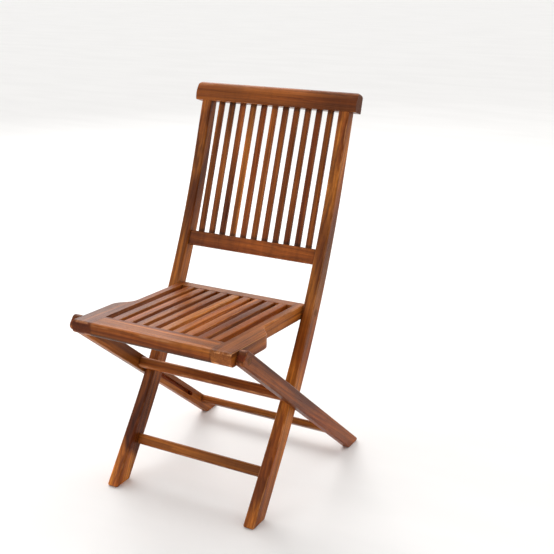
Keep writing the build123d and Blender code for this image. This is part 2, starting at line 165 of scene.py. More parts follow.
class ChairStageSettings(bpy.types.PropertyGroup):
    """Floor, light and camera"""

    floor: colour("Floor", "Colour of the pale floor", (0.87, 0.858, 0.842))
    floor_size: length("Floor size", "Width of the floor", 60.0)
    sky: share("Soft light", "Strength of the light from above and behind", 1.22, top=10.0)
    shade: share("Shaded side", "Strength of the light from the camera's side, as a share of that", 0.34)
    key: bpy.props.FloatProperty(
        name="Key light", description="Power of the large light behind and to the left",
        default=70.0, min=0.0, unit="POWER")
    fill: bpy.props.FloatProperty(
        name="Fill light", description="Power of the large light in front",
        default=12.0, min=0.0, unit="POWER")
    lens: bpy.props.FloatProperty(
        name="Lens", description="Focal length on a 36 mm sensor", default=65.83,
        min=1.0, unit="CAMERA")
    azimuth: bpy.props.FloatProperty(
        name="Azimuth", description="How far the camera stands round to the chair's left hand",
        default=math.radians(29.374), unit="ROTATION", subtype="ANGLE")
    elevation: bpy.props.FloatProperty(
        name="Elevation", description="Camera height as an angle above the target",
        default=math.radians(18.894), unit="ROTATION", subtype="ANGLE")
    roll: bpy.props.FloatProperty(
        name="Roll", description="Turn of the camera about its own line of sight",
        default=math.radians(-0.446), unit="ROTATION", subtype="ANGLE")
    distance: length("Distance", "Camera to target", 2.5749)


# ---- node helpers --------------------------------------------------------------------
def put(socket, value):
    """Links a socket to another, or sets its own value."""
    if isinstance(value, bpy.types.NodeSocket):
        socket.id_data.links.new(value, socket)
    elif isinstance(value, Vector) or isinstance(value, tuple):
        size = len(socket.default_value)
        socket.default_value = tuple(value) + (1.0,) * (size - len(value))
    else:
        socket.default_value = value


def node(tree, kind, values=None, **settings):
    """A new node with its settings and input values. Returns the node."""
    made = tree.nodes.new(kind)
    for key, value in settings.items():
        setattr(made, key, value)
    for key, value in (values or {}).items():
        put(made.inputs[key], value)
    return made


def maths(tree, operation, *values, clamp=False):
    made = node(tree, "ShaderNodeMath", dict(enumerate(values)), operation=operation)
    made.use_clamp = clamp
    return made.outputs[0]


def vectors(tree, operation, *values):
    made = node(tree, "ShaderNodeVectorMath", dict(enumerate(values)), operation=operation)
    return made.outputs["Value" if operation in ("LENGTH", "DOT_PRODUCT") else "Vector"]


def ramped(tree, value, low, high, to_low=0.0, to_high=1.0):
    """value eased from low..high to to_low..to_high."""
    made = node(
        tree, "ShaderNodeMapRange",
        {"Value": value, "From Min": low, "From Max": high, "To Min": to_low, "To Max": to_high},
        interpolation_type="SMOOTHSTEP")
    return made.outputs["Result"]


def noise(tree, place, stretch, detail=2.0, roughness=0.5, distortion=0.0):
    """Noise whose cells are 1/stretch metres along each axis. Returns value and colour."""
    scaled = vectors(tree, "MULTIPLY", place, stretch)
    made = node(
        tree, "ShaderNodeTexNoise",
        {"Vector": scaled, "Scale": 1.0, "Detail": detail, "Roughness": roughness,
         "Distortion": distortion})
    return made.outputs["Fac"], made.outputs["Color"]


def blend(tree, factor, first, second, kind="MIX"):
    made = node(tree, "ShaderNodeMix", data_type="RGBA", blend_type=kind, clamp_factor=True)
    put(made.inputs[0], factor)
    put(made.inputs[6], first)
    put(made.inputs[7], second)
    return made.outputs[2]


def shaded(tree, colour, level):
    """A colour multiplied by one number."""
    grey = node(tree, "ShaderNodeCombineXYZ", {0: level, 1: level, 2: level}).outputs[0]
    return vectors(tree, "MULTIPLY", colour, grey)


def add_input(tree, name, kind, default=None):
    made = tree.interface.new_socket(name, in_out="INPUT", socket_type=kind)
    if default is not None:
        made.default_value = default
    return made


# ---- oiled wood ----------------------------------------------------------------------
def wood_group(finish):
    """The wood as one node group, in a board's own frame: x along the grain, metres."""
    tree = bpy.data.node_groups.new("Oiled wood", "ShaderNodeTree")
    add_input(tree, "Place", "NodeSocketVector")
    add_input(tree, "Facing", "NodeSocketVector")
    add_input(tree, "Cut", "NodeSocketVector")
    for name, value in (
            ("Gold", 0.5), ("Streaks", 0.5), ("Figure", 0.2), ("Ring width", 0.006),
            ("Pith across", 0.05), ("Pith below", 0.06), ("Shoulder", 10.0), ("Wear", 0.5)):
        add_input(tree, name, "NodeSocketFloat", value)
    for name, kind in (
            ("Colour", "NodeSocketColor"), ("Roughness", "NodeSocketFloat"),
            ("Height", "NodeSocketFloat")):
        tree.interface.new_socket(name, in_out="OUTPUT", socket_type=kind)
    given = node(tree, "NodeGroupInput").outputs
    place = vectors(tree, "ADD", given["Place"], given["Cut"])

    # Lines of growth wander slowly along the board.
    sway = noise(tree, place, (2.4, 7.0, 7.0), detail=2.0)[1]
    sway = vectors(tree, "SUBTRACT", sway, (0.5, 0.5, 0.5))
    sway = vectors(tree, "MULTIPLY", sway, (0.0, 0.018, 0.018))
    swayed = vectors(tree, "ADD", place, sway)

    # Growth rings about a pith that lies outside the board and runs slightly askew.
    local = node(tree, "ShaderNodeSeparateXYZ", {0: vectors(tree, "ADD", given["Place"], sway)}).outputs
    across = maths(tree, "ADD", local["Y"], given["Pith across"])
    across = maths(tree, "ADD", across, maths(tree, "MULTIPLY", local["X"], 0.035))
    below = maths(tree, "ADD", local["Z"], given["Pith below"])
    radius = vectors(tree, "LENGTH", node(tree, "ShaderNodeCombineXYZ", {1: across, 2: below}).outputs[0])
    ring = maths(tree, "DIVIDE", radius, given["Ring width"])
    uneven = noise(tree, place, (3.0, 60.0, 60.0), 3.0)[0]
    ring = maths(tree, "ADD", ring, maths(tree, "MULTIPLY", uneven, 2.2))
    ring = maths(tree, "FRACT", ring)
    late = maths(tree, "MULTIPLY", ramped(tree, ring, 0.25, 0.90), ramped(tree, ring, 1.0, 0.92))

    broad = ramped(tree, noise(tree, swayed, (1.5, 62.0, 62.0), 3.0, 0.55)[0], 0.40, 0.62)
    fine = noise(tree, swayed, (7.0, 420.0, 420.0), 3.0, 0.6)[0]
    golden = ramped(tree, noise(tree, swayed, (1.8, 30.0, 30.0), 2.0)[0], 0.38, 0.60)
    tone = noise(tree, place, (3.2, 9.0, 9.0), 2.0)[0]
    mineral = ramped(tree, noise(tree, swayed, (1.2, 34.0, 34.0), 2.0, 0.5, 0.3)[0], 0.60, 0.72)
    pores = ramped(tree, noise(tree, swayed, (110.0, 1900.0, 1900.0), 2.0, 0.5)[0], 0.58, 0.70)
    ripple = noise(tree, place, (55.0, 14.0, 14.0), 2.0, 0.5, 0.8)[0]

    wood = blend(tree, maths(tree, "MULTIPLY", golden, given["Gold"]), finish.middle[:], finish.light[:])
    dark = maths(tree, "MULTIPLY", broad, given["Streaks"])
    wood = blend(tree, dark, wood, finish.dark[:])
    wood = blend(tree, maths(tree, "MULTIPLY", late, 0.34), wood, finish.dark[:])
    wood = blend(tree, maths(tree, "MULTIPLY", mineral, given["Streaks"]), wood, finish.dark[:])
    wood = blend(tree, maths(tree, "MULTIPLY", pores, 0.40), wood, finish.dark[:])
    level = ramped(tree, tone, 0.28, 0.72, 0.66, 1.36)
    level = maths(tree, "MULTIPLY", level, ramped(tree, fine, 0.3, 0.7, 0.86, 1.14))
    swing = maths(tree, "MULTIPLY", maths(tree, "SUBTRACT", ripple, 0.5), given["Figure"])
    level = maths(tree, "MULTIPLY", level, maths(tree, "ADD", swing, 1.0))

    # End grain, arrises lightened partly by rubbed wear and partly by a painted highlight, and the painted
    # shade that gathers at a joint's shoulder.
    facing = vectors(tree, "ABSOLUTE", given["Facing"])
    face = node(tree, "ShaderNodeSeparateXYZ", {0: facing}).outputs
    sawn = ramped(tree, face["X"], 0.72, 0.93)
    flattest = maths(tree, "MAXIMUM", face["X"], maths(tree, "MAXIMUM", face["Y"], face["Z"]))
    # Arrises: partly rubbed wear, partly a painted highlight where the rounded edges catch light.
    arris = ramped(tree, flattest, 0.965, 0.80)
    patchy_wear_and_highlight = ramped(tree, noise(tree, place, (14.0, 60.0, 60.0), 3.0, 0.6)[0], 0.42, 0.62)
    worn_and_highlit = maths(tree, "MULTIPLY", maths(tree, "MULTIPLY", arris, patchy_wear_and_highlight), given["Wear"])
    speckle = ramped(tree, noise(tree, place, (500.0, 1400.0, 1400.0), 2.0)[0], 0.45, 0.65, 1.15, 0.6)
    sawn_wood = blend(tree, 0.75, wood, finish.end[:])
    wood = blend(tree, sawn, wood, sawn_wood)
    wood = blend(tree, worn_and_highlit, wood, finish.worn_and_highlit[:])
    level = maths(tree, "MULTIPLY", level, blend_value(tree, sawn, 1.0, speckle))
    reach = maths(tree, "ABSOLUTE", node(tree, "ShaderNodeSeparateXYZ", {0: given["Place"]}).outputs["X"])
    reach = maths(tree, "SUBTRACT", given["Shoulder"], reach)
    level = maths(tree, "MULTIPLY", level, ramped(tree, reach, 0.0, 0.006, 0.55, 1.0))
    wood = shaded(tree, wood, level)

    matt = maths(tree, "ADD", finish.gloss - 0.06, maths(tree, "MULTIPLY", fine, 0.12))
    matt = maths(tree, "ADD", matt, maths(tree, "MULTIPLY", pores, 0.18))
    matt = maths(tree, "ADD", matt, maths(tree, "MULTIPLY", sawn, 0.22))
    matt = maths(tree, "ADD", matt, ramped(tree, tone, 0.3, 0.7, -0.05, 0.07))

    relief = finish.grain_relief
    height = maths(tree, "MULTIPLY", pores, -relief)
    height = maths(tree, "ADD", height, maths(tree, "MULTIPLY", fine, relief * 0.45))
    height = maths(tree, "ADD", height, maths(tree, "MULTIPLY", late, relief * 0.5))
    planed = noise(tree, place, (9.0, 70.0, 70.0), 2.0)[0]
    height = maths(tree, "ADD", height, maths(tree, "MULTIPLY", planed, relief * 4.0))

    out = node(tree, "NodeGroupOutput").inputs
    put(out["Colour"], wood)
    put(out["Roughness"], matt)
    put(out["Height"], height)
    return tree


def blend_value(tree, factor, first, second):
    made = node(tree, "ShaderNodeMix", {0: factor, 2: first, 3: second}, data_type="FLOAT")
    return made.outputs[0]


def wood_material(
        name, board, cut=(0.0, 0.0, 0.0), stain=(1.0, 1.0, 1.0), zones=(), halo=None,
        groove=False, per_slat=False, ends=None, under=None, **grain):
    """Oiled wood laid along a board.

    zones are (distance from the board's middle, multiplier) pairs along the grain.
    halo is the (y, z) of a plug, with darker wood round it. ends multiplies the sawn ends,
    and under is the heights between which a painted shade darkens the wood towards its lower
    front edge, with how far back that reaches.
    """
    material = bpy.data.materials.new(name)
    material.use_nodes = True
    tree = material.node_tree
    shader = tree.nodes["Principled BSDF"]
    coordinates = node(tree, "ShaderNodeTexCoord").outputs
    place = node(
        tree, "ShaderNodeMapping",
        {"Vector": coordinates["Object"], "Location": board.middle, "Rotation": tuple(board.angles)},
        vector_type="TEXTURE").outputs[0]
    facing = node(
        tree, "ShaderNodeMapping",
        {"Vector": coordinates["Normal"], "Rotation": tuple(board.angles)},
        vector_type="TEXTURE").outputs[0]
    wood = tree.nodes.new("ShaderNodeGroup")
    wood.node_tree = bpy.data.node_groups.get("Oiled wood") or wood_group(
        bpy.context.scene.chair_finish)
    put(wood.inputs["Place"], place)
    put(wood.inputs["Facing"], facing)
    put(wood.inputs["Cut"], cut)
    for key, value in grain.items():
        put(wood.inputs[key.replace("_", " ").capitalize()], value)
    coloured = wood.outputs["Colour"]
    if per_slat:
        shift = node(tree, "ShaderNodeAttribute", attribute_name="cut").outputs["Vector"]
        put(wood.inputs["Cut"], shift)
        own = node(tree, "ShaderNodeAttribute", attribute_name="stain").outputs["Color"]
        coloured = blend(tree, 1.0, coloured, own, "MULTIPLY")
    along = node(tree, "ShaderNodeSeparateXYZ", {0: place}).outputs
    if zones:
        wavering = noise(tree, place, (9.0, 30.0, 30.0), 2.0)[0]
        wavering = maths(tree, "MULTIPLY", maths(tree, "SUBTRACT", wavering, 0.5), 0.05)
        wavering = maths(tree, "ADD", wavering, maths(tree, "MULTIPLY", along["Y"], 1.2))
        at = maths(tree, "ADD", along["X"], wavering)
        at = maths(tree, "DIVIDE", maths(tree, "ADD", at, board.half.x), 2 * board.half.x, clamp=True)
        ramp = node(tree, "ShaderNodeValToRGB", {0: at})
        stops = ramp.color_ramp.elements
        while len(stops) < len(zones):
            stops.new(0.5)
        for stop, (distance, multiplier) in zip(stops, zones):
            stop.position = (distance + board.half.x) / (2 * board.half.x)
            stop.color = (*[m / 2 for m in multiplier], 1.0)
        tint = vectors(tree, "MULTIPLY", ramp.outputs["Color"], (2.0, 2.0, 2.0))
        coloured = vectors(tree, "MULTIPLY", coloured, tint)
    if stain != (1.0, 1.0, 1.0):
        coloured = vectors(tree, "MULTIPLY", coloured, stain)
    if ends:
        sawn = maths(tree, "ABSOLUTE", node(tree, "ShaderNodeSeparateXYZ", {0: facing}).outputs["X"])
        sawn_wood = vectors(tree, "MULTIPLY", coloured, ends)
        coloured = blend(tree, ramped(tree, sawn, *SAWN_FACING), coloured, sawn_wood)
    spot = node(tree, "ShaderNodeSeparateXYZ", {0: coordinates["Object"]}).outputs
    # Painted shade: the wood is darkened towards its lower front edge, where shade falls under the rail.
    if under:
        low, high, front = under
        near = ramped(tree, spot["Y"], front + PAINTED_LIP_SHADE_REACH, front)
        painted_lip_shade = maths(tree, "MULTIPLY", ramped(tree, spot["Z"], high, low), near)
        coloured = shaded(tree, coloured, blend_value(tree, painted_lip_shade, 1.0, PAINTED_LIP_SHADE))
    if halo:
        away = vectors(tree, "LENGTH", node(tree, "ShaderNodeCombineXYZ", {
            0: maths(tree, "SUBTRACT", spot["Y"], halo[0]),
            1: maths(tree, "SUBTRACT", spot["Z"], halo[1])}).outputs[0])
        coloured = shaded(tree, coloured, ramped(tree, away, *PLUG_HALO, HALO_SHADE, 1.0))
    if groove:
        depth = maths(tree, "ABSOLUTE", spot["X"])
        inside = maths(
            tree, "MULTIPLY", ramped(tree, depth, *GROOVE_INNER), ramped(tree, depth, *GROOVE_OUTER))
        narrow = ramped(tree, maths(tree, "ABSOLUTE", along["Z"]), *GROOVE_HALF)
        inner = maths(tree, "MULTIPLY", inside, narrow)
        coloured = blend(tree, inner, coloured, vectors(tree, "MULTIPLY", coloured, GROOVE_TINT))
    bump = node(tree, "ShaderNodeBump", {"Height": wood.outputs["Height"], "Strength": 1.0, "Distance": 1.0})
    put(shader.inputs["Base Color"], coloured)
    put(shader.inputs["Roughness"], wood.outputs["Roughness"])
    put(shader.inputs["Normal"], bump.outputs["Normal"])
    shader.inputs["Specular IOR Level"].default_value = WOOD_SPECULAR
    return material


def dress(name, material):
    """Gives a CAD piece its material in each of its slots."""
    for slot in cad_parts[name].material_slots:
        slot.material = material


# ---- rows of slats and plugs ----------------------------------------------------------
def slat_tree(stains):
    """Row of slats along local y, each running along local x, with its own stain and cut."""
    tree = bpy.data.node_groups.new("Row of slats", "GeometryNodeTree")
    for name, kind in (
            ("Slats", "NodeSocketInt"), ("Spacing", "NodeSocketFloat"), ("Width", "NodeSocketFloat"),
            ("Thickness", "NodeSocketFloat"), ("Length", "NodeSocketFloat"),
            ("Upper rounding", "NodeSocketFloat"), ("Lower rounding", "NodeSocketFloat"),
            ("Wander", "NodeSocketFloat"), ("Middle", "NodeSocketVector"),
            ("Turn", "NodeSocketVector"), ("Seed", "NodeSocketInt"),
            ("Wood", "NodeSocketMaterial")):
        add_input(tree, name, kind)
    tree.interface.new_socket("Geometry", in_out="OUTPUT", socket_type="NodeSocketGeometry")
    given = node(tree, "NodeGroupInput").outputs

    section = node(
        tree, "GeometryNodeCurvePrimitiveQuadrilateral",
        {"Width": given["Width"], "Height": given["Thickness"]}, mode="RECTANGLE").outputs[0]
    corner = node(tree, "ShaderNodeSeparateXYZ", {0: node(tree, "GeometryNodeInputPosition").outputs[0]})
    upper = node(
        tree, "FunctionNodeCompare", {0: corner.outputs["Y"], 1: 0.0},
        data_type="FLOAT", operation="GREATER_THAN").outputs[0]
    rounding = node(
        tree, "GeometryNodeSwitch",
        {"Switch": upper, "False": given["Lower rounding"], "True": given["Upper rounding"]},
        input_type="FLOAT").outputs[0]
    section = node(
        tree, "GeometryNodeFilletCurve", {"Curve": section, "Radius": rounding, "Count": 6},
        mode="POLY").outputs[0]
    half = maths(tree, "MULTIPLY", given["Length"], 0.5)
    ends = [
        node(tree, "ShaderNodeCombineXYZ", {0: value}).outputs[0]
        for value in (maths(tree, "MULTIPLY", half, -1.0), half)]
    path = node(tree, "GeometryNodeCurvePrimitiveLine", {"Start": ends[0], "End": ends[1]}).outputs[0]
    path = node(tree, "GeometryNodeResampleCurve", {"Curve": path, "Count": 13}).outputs[0]
    slat = node(
        tree, "GeometryNodeCurveToMesh",
        {"Curve": path, "Profile Curve": section, "Fill Caps": True}).outputs[0]
    slat = node(tree, "GeometryNodeSetShadeSmooth", {"Geometry": slat}).outputs[0]

    first = maths(tree, "MULTIPLY", maths(tree, "SUBTRACT", given["Slats"], 1.0), -0.5)
    first = maths(tree, "MULTIPLY", first, given["Spacing"])
    start = node(tree, "ShaderNodeCombineXYZ", {1: first}).outputs[0]
    step = node(tree, "ShaderNodeCombineXYZ", {1: given["Spacing"]}).outputs[0]
    row = node(
        tree, "GeometryNodeMeshLine",
        {"Count": given["Slats"], "Start Location": start, "Offset": step}).outputs[0]
    spread = node(tree, "ShaderNodeCombineXYZ", {1: given["Wander"], 2: given["Wander"]}).outputs[0]
    drift = random_vector(tree, vectors(tree, "MULTIPLY", spread, (-1.0, -1.0, -1.0)), spread, given["Seed"])
    row = node(tree, "GeometryNodeSetPosition", {"Geometry": row, "Offset": drift}).outputs[0]
    twist = random_vector(
        tree, (-0.006, 0.0, 0.0), (0.006, 0.0, 0.0), maths(tree, "ADD", given["Seed"], 1.0))
    row = node(
        tree, "GeometryNodeInstanceOnPoints",
        {"Points": row, "Instance": slat, "Rotation": twist}).outputs[0]
    cut = random_vector(
        tree, (-5.0, -5.0, -5.0), (5.0, 5.0, 5.0), maths(tree, "ADD", given["Seed"], 2.0))
    row = stored(tree, row, "cut", "FLOAT_VECTOR", cut)
    index = node(tree, "GeometryNodeInputIndex").outputs[0]
    at = maths(tree, "DIVIDE", maths(tree, "ADD", index, 0.5), given["Slats"])
    ramp = node(tree, "ShaderNodeValToRGB", {0: at})
    ramp.color_ramp.interpolation = "CONSTANT"
    steps = ramp.color_ramp.elements
    while len(steps) < len(stains):
        steps.new(0.5)
    for i, stain in enumerate(stains):
        steps[i].position = i / len(stains)
        steps[i].color = (*[s / 2 for s in stain], 1.0)
    tint = vectors(tree, "MULTIPLY", ramp.outputs["Color"], (2.0, 2.0, 2.0))
    row = stored(tree, row, "stain", "FLOAT_COLOR", tint)
    row = node(
        tree, "GeometryNodeTransform",
        {"Geometry": row, "Translation": given["Middle"], "Rotation": given["Turn"]}).outputs[0]
    finish_tree(tree, row, given["Wood"])
    return tree


def random_vector(tree, low, high, seed):
    made = node(
        tree, "FunctionNodeRandomValue", {"Min": low, "Max": high, "Seed": seed},
        data_type="FLOAT_VECTOR")
    return made.outputs["Value"]


def stored(tree, instances, name, kind, value):
    made = tree.nodes.new("GeometryNodeStoreNamedAttribute")
    made.data_type = kind
    made.domain = "INSTANCE"
    put(made.inputs["Geometry"], instances)
    put(made.inputs["Name"], name)
    put(made.inputs["Value"], value)
    return made.outputs[0]


def finish_tree(tree, instances, material):
    real = node(tree, "GeometryNodeRealizeInstances", {"Geometry": instances}).outputs[0]
    dressed = node(tree, "GeometryNodeSetMaterial", {"Geometry": real, "Material": material})
    put(node(tree, "NodeGroupOutput").inputs[0], dressed.outputs[0])


def plug_tree():
    """Pair of domed plugs, one on each side of the middle plane, facing outwards."""
    tree = bpy.data.node_groups.new("Pair of plugs", "GeometryNodeTree")
    for name, kind in (
            ("Radius", "NodeSocketFloat"), ("Depth", "NodeSocketFloat"), ("Dome", "NodeSocketFloat"),
            ("Face", "NodeSocketFloat"), ("Across", "NodeSocketFloat"), ("Above", "NodeSocketFloat"),
            ("Seed", "NodeSocketInt"), ("Wood", "NodeSocketMaterial")):
        add_input(tree, name, kind)
    tree.interface.new_socket("Geometry", in_out="OUTPUT", socket_type="NodeSocketGeometry")
    given = node(tree, "NodeGroupInput").outputs
    disc = node(
        tree, "GeometryNodeMeshCylinder",
        {"Vertices": 48, "Side Segments": 6, "Fill Segments": 8, "Radius": given["Radius"],
         "Depth": given["Depth"]}, fill_type="TRIANGLE_FAN").outputs["Mesh"]
    spot = node(tree, "GeometryNodeInputPosition").outputs[0]
    parts = node(tree, "ShaderNodeSeparateXYZ", {0: spot}).outputs
    flat = vectors(tree, "LENGTH", vectors(tree, "MULTIPLY", spot, (1.0, 1.0, 0.0)))
    out = maths(tree, "DIVIDE", flat, given["Radius"])
    rise = maths(tree, "SUBTRACT", 1.0, maths(tree, "POWER", out, 2.6))
    rise = maths(tree, "MULTIPLY", rise, given["Dome"])
    top = maths(tree, "DIVIDE", parts["Z"], maths(tree, "MULTIPLY", given["Depth"], 0.5))
    rise = maths(tree, "MULTIPLY", rise, maths(tree, "GREATER_THAN", top, 0.98))
    lift = node(tree, "ShaderNodeCombineXYZ", {2: rise}).outputs[0]
    disc = node(tree, "GeometryNodeSetPosition", {"Geometry": disc, "Offset": lift}).outputs[0]
    disc = node(tree, "GeometryNodeSetShadeSmooth", {"Geometry": disc, "Shade Smooth": False}).outputs[0]
    drop = maths(tree, "MULTIPLY", given["Depth"], -0.5)
    sunk = node(tree, "ShaderNodeCombineXYZ", {2: drop}).outputs[0]
    disc = node(tree, "GeometryNodeTransform", {"Geometry": disc, "Translation": sunk}).outputs[0]

    away = maths(tree, "MULTIPLY", given["Face"], -1.0)
    start = node(
        tree, "ShaderNodeCombineXYZ", {0: away, 1: given["Across"], 2: given["Above"]}).outputs[0]
    step = node(
        tree, "ShaderNodeCombineXYZ", {0: maths(tree, "MULTIPLY", given["Face"], 2.0)}).outputs[0]
    pair = node(
        tree, "GeometryNodeMeshLine", {"Count": 2, "Start Location": start, "Offset": step}).outputs[0]
    index = node(tree, "GeometryNodeInputIndex").outputs[0]
    side = maths(tree, "SUBTRACT", maths(tree, "MULTIPLY", index, 2.0), 1.0)
    outward = node(
        tree, "ShaderNodeCombineXYZ", {1: maths(tree, "MULTIPLY", side, math.pi / 2)}).outputs[0]
    pair = node(
        tree, "GeometryNodeInstanceOnPoints",
        {"Points": pair, "Instance": disc, "Rotation": outward}).outputs[0]
    cut = random_vector(tree, (-5.0, -5.0, -5.0), (5.0, 5.0, 5.0), given["Seed"])
    pair = stored(tree, pair, "cut", "FLOAT_VECTOR", cut)
    pair = stored(tree, pair, "stain", "FLOAT_COLOR", (1.0, 1.0, 1.0))
    finish_tree(tree, pair, given["Wood"])
    return tree


def grown(name, tree, values):
    """A plain mesh object made by a node tree with the given inputs."""
    source = bpy.data.objects.new(name, bpy.data.meshes.new(name))
    bpy.context.scene.collection.objects.link(source)
    modifier = source.modifiers.new("Tree", "NODES")
    modifier.node_group = tree
    sockets = {item.name: item.identifier for item in tree.interface.items_tree if item.in_out == "INPUT"}
    for key, value in values.items():
        modifier[sockets[key]] = value
    bpy.context.view_layer.update()
    settled = bpy.data.meshes.new_from_object(
        source.evaluated_get(bpy.context.evaluated_depsgraph_get()))
    source.modifiers.clear()
    source.data = settled
    settled.name = name
    return source


# ---- operators -----------------------------------------------------------------------
class CHAIR_OT_back_slats(bpy.types.Operator):
    """Makes the upright slats of the back as one piece on the back frame"""

    bl_idname = "chair.back_slats"
    bl_label = "Back Slats"

    def execute(self, context):
        sizes = context.scene.chair_slats
        boards = [Board(name) for name in BACK_SLATS]
        middle = boards[len(boards) // 2]
        material = wood_material(
            "Back slat wood", middle, per_slat=True, gold=0.55, streaks=0.55, figure=0.15,
            ring_width=0.0045, shoulder=0.1575, wear=0.55)
        slats = grown("back_slats", slat_tree(BACK_SLAT_STAINS), {
            "Slats": len(boards),
            "Spacing": (boards[-1].middle.x - boards[0].middle.x) / (len(boards) - 1),
            "Width": sizes.back_width,
            "Thickness": sizes.back_depth,
            "Length": 2 * middle.half.x,
            "Upper rounding": sizes.back_rounding,
            "Lower rounding": sizes.back_rounding,
            "Wander": sizes.wander,
            "Middle": middle.middle,
            "Turn": tuple(middle.angles),
            "Seed": 3,
            "Wood": material,
        })
        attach(slats, "back_frame")
        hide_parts(*BACK_SLATS)
        return {"FINISHED"}


class CHAIR_OT_seat_slats(bpy.types.Operator):
    """Makes the slats of the seat as one piece on the seat"""

    bl_idname = "chair.seat_slats"
    bl_label = "Seat Slats"

    def execute(self, context):
        sizes = context.scene.chair_slats
        boards = [Board(name) for name in SEAT_SLATS]
        middle = boards[len(boards) // 2]
        material = wood_material(
            "Seat slat wood", middle, per_slat=True, gold=0.65, streaks=0.45, figure=0.2,
            ring_width=0.005, shoulder=10.0, wear=0.8)
        slats = grown("seat_slats", slat_tree(SEAT_SLAT_STAINS), {
            "Slats": len(boards),
            "Spacing": (boards[-1].middle.x - boards[0].middle.x) / (len(boards) - 1),
            "Width": sizes.seat_width,
            "Thickness": sizes.seat_thickness,
            "Length": 2 * middle.half.x,
            "Upper rounding": sizes.seat_crown,
            "Lower rounding": sizes.seat_rounding,
            "Wander": sizes.wander,
            "Middle": middle.middle,
            "Turn": tuple(middle.angles),
            "Seed": 11,
            "Wood": material,
        })
        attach(slats, "seat")
        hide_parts(*SEAT_SLATS)
        return {"FINISHED"}


class CHAIR_OT_plugs(bpy.types.Operator):
    """Makes the wood plugs over the pivot pins, a pair on the posts and a pair on the legs"""

    bl_idname = "chair.plugs"
    bl_label = "Plugs"

    def execute(self, context):
        sizes = context.scene.chair_slats
        tree = plug_tree()
        for seed, (name, cad, body) in enumerate((
                ("post_plugs", "post_plug", "back_frame"), ("leg_plugs", "leg_plug", "rear_leg_frame"))):
            low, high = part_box(f"right_{cad}")
            board = Board("lower_back_rail", across=True)
            board.middle = (low + high) / 2
            material = wood_material(
                f"{name} wood", board, per_slat=True, gold=0.9, streaks=0.25, figure=0.1,
                ring_width=0.003, shoulder=10.0, wear=0.8, stain=(1.25, 1.3, 1.3))
            plugs = grown(name, tree, {
                "Radius": sizes.plug_radius,
                "Depth": high.x - low.x - sizes.plug_dome,
                "Dome": sizes.plug_dome,
                "Face": high.x - sizes.plug_dome,
                "Across": board.middle.y,
                "Above": board.middle.z,
                "Seed": seed,
                "Wood": material,
            })
            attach(plugs, body)
            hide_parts(f"right_{cad}", f"left_{cad}")
        return {"FINISHED"}


class CHAIR_OT_back_frame(bpy.types.Operator):
    """Finishes the posts, the two back rails and the front stretcher"""

    bl_idname = "chair.back_frame"
    bl_label = "Back Frame"

    def execute(self, context):
        low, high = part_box("right_post_plug")
        halo = ((low.y + high.y) / 2, (low.z + high.z) / 2)
        left, right = Board("left_post"), Board("right_post")
        dress("left_post", wood_material(
            "Left post wood", left, cut=(1.3, 0.2, 0.7), halo=halo, gold=0.65, streaks=0.6,
            figure=0.25, ring_width=0.007, wear=0.6,
            zones=((-0.47, (1.9, 2.0, 2.0)), (-0.395, (1.7, 1.9, 2.0)), (-0.380, (0.50, 0.38, 0.38)),
                   (-0.25, (0.72, 0.60, 0.58)), (-0.10, (1.0, 0.95, 0.95)), (0.3, (1.0, 1.0, 1.0)))))
        dress("right_post", wood_material(
            "Right post wood", right, cut=(4.1, 2.2, 1.9), halo=halo, gold=0.85, streaks=0.5,
            figure=0.25, ring_width=0.008, wear=0.6,
            zones=((-0.47, (1.05, 1.0, 0.95)), (-0.15, (1.10, 1.08, 1.0)), (-0.09, (0.62, 0.46, 0.50)),
                   (-0.01, (0.72, 0.58, 0.58)), (0.05, (1.0, 0.98, 0.95)), (0.47, (1.02, 1.0, 1.0)))))
        dress("top_rail", wood_material(
            "Top rail wood", Board("top_rail", across=True), cut=(2.7, 3.1, 0.4), gold=0.35,
            streaks=0.42, figure=0.3, ring_width=0.009, wear=0.5, stain=(1.0, 0.95, 1.0)))
        dress("lower_back_rail", wood_material(
            "Lower back rail wood", Board("lower_back_rail", across=True), cut=(0.9, 5.2, 2.8),
            gold=0.35, streaks=0.5, figure=0.9, ring_width=0.008, shoulder=0.174, wear=0.5,
            stain=(1.0, 0.9, 0.9)))
        dress("front_stretcher", wood_material(
            "Front stretcher wood", Board("front_stretcher", across=True), cut=(3.3, 1.7, 4.4),
            gold=0.6, streaks=0.45, figure=0.2, ring_width=0.007, shoulder=0.174, wear=0.6))
        return {"FINISHED"}


class CHAIR_OT_seat(bpy.types.Operator):
    """Finishes the seat's side boards and its front and rear rails"""

    bl_idname = "chair.seat"
    bl_label = "Seat Frame"

    def execute(self, context):
        dress("left_seat_side", wood_material(
            "Left seat side wood", Board("left_seat_side"), cut=(2.2, 4.9, 3.6), gold=0.4,
            streaks=0.5, figure=0.3, ring_width=0.008, wear=0.8, ends=(0.8, 0.6, 0.6),
            stain=(1.02, 0.98, 1.02)))
        dress("right_seat_side", wood_material(
            "Right seat side wood", Board("right_seat_side"), cut=(5.2, 0.9, 1.6), gold=0.55,
            streaks=0.5, figure=0.3, ring_width=0.008, wear=0.8, ends=(2.0, 2.1, 2.2)))
        dress("seat_front_rail", wood_material(
            "Seat front rail wood", Board("seat_front_rail", across=True), cut=(1.2, 3.9, 5.6),
            gold=0.75, streaks=0.45, figure=0.45, ring_width=0.009, shoulder=0.1545, wear=0.6,
            # under paints shade along the rail's lower front edge
            under=(0.421, 0.430, -0.2753), stain=(0.80, 0.74, 0.72)))
        dress("seat_rear_rail", wood_material(
            "Seat rear rail wood", Board("seat_rear_rail", across=True), cut=(4.2, 2.9, 0.6),
            gold=0.4, streaks=0.4, figure=0.3, ring_width=0.008, shoulder=0.1545, wear=0.6))
        return {"FINISHED"}


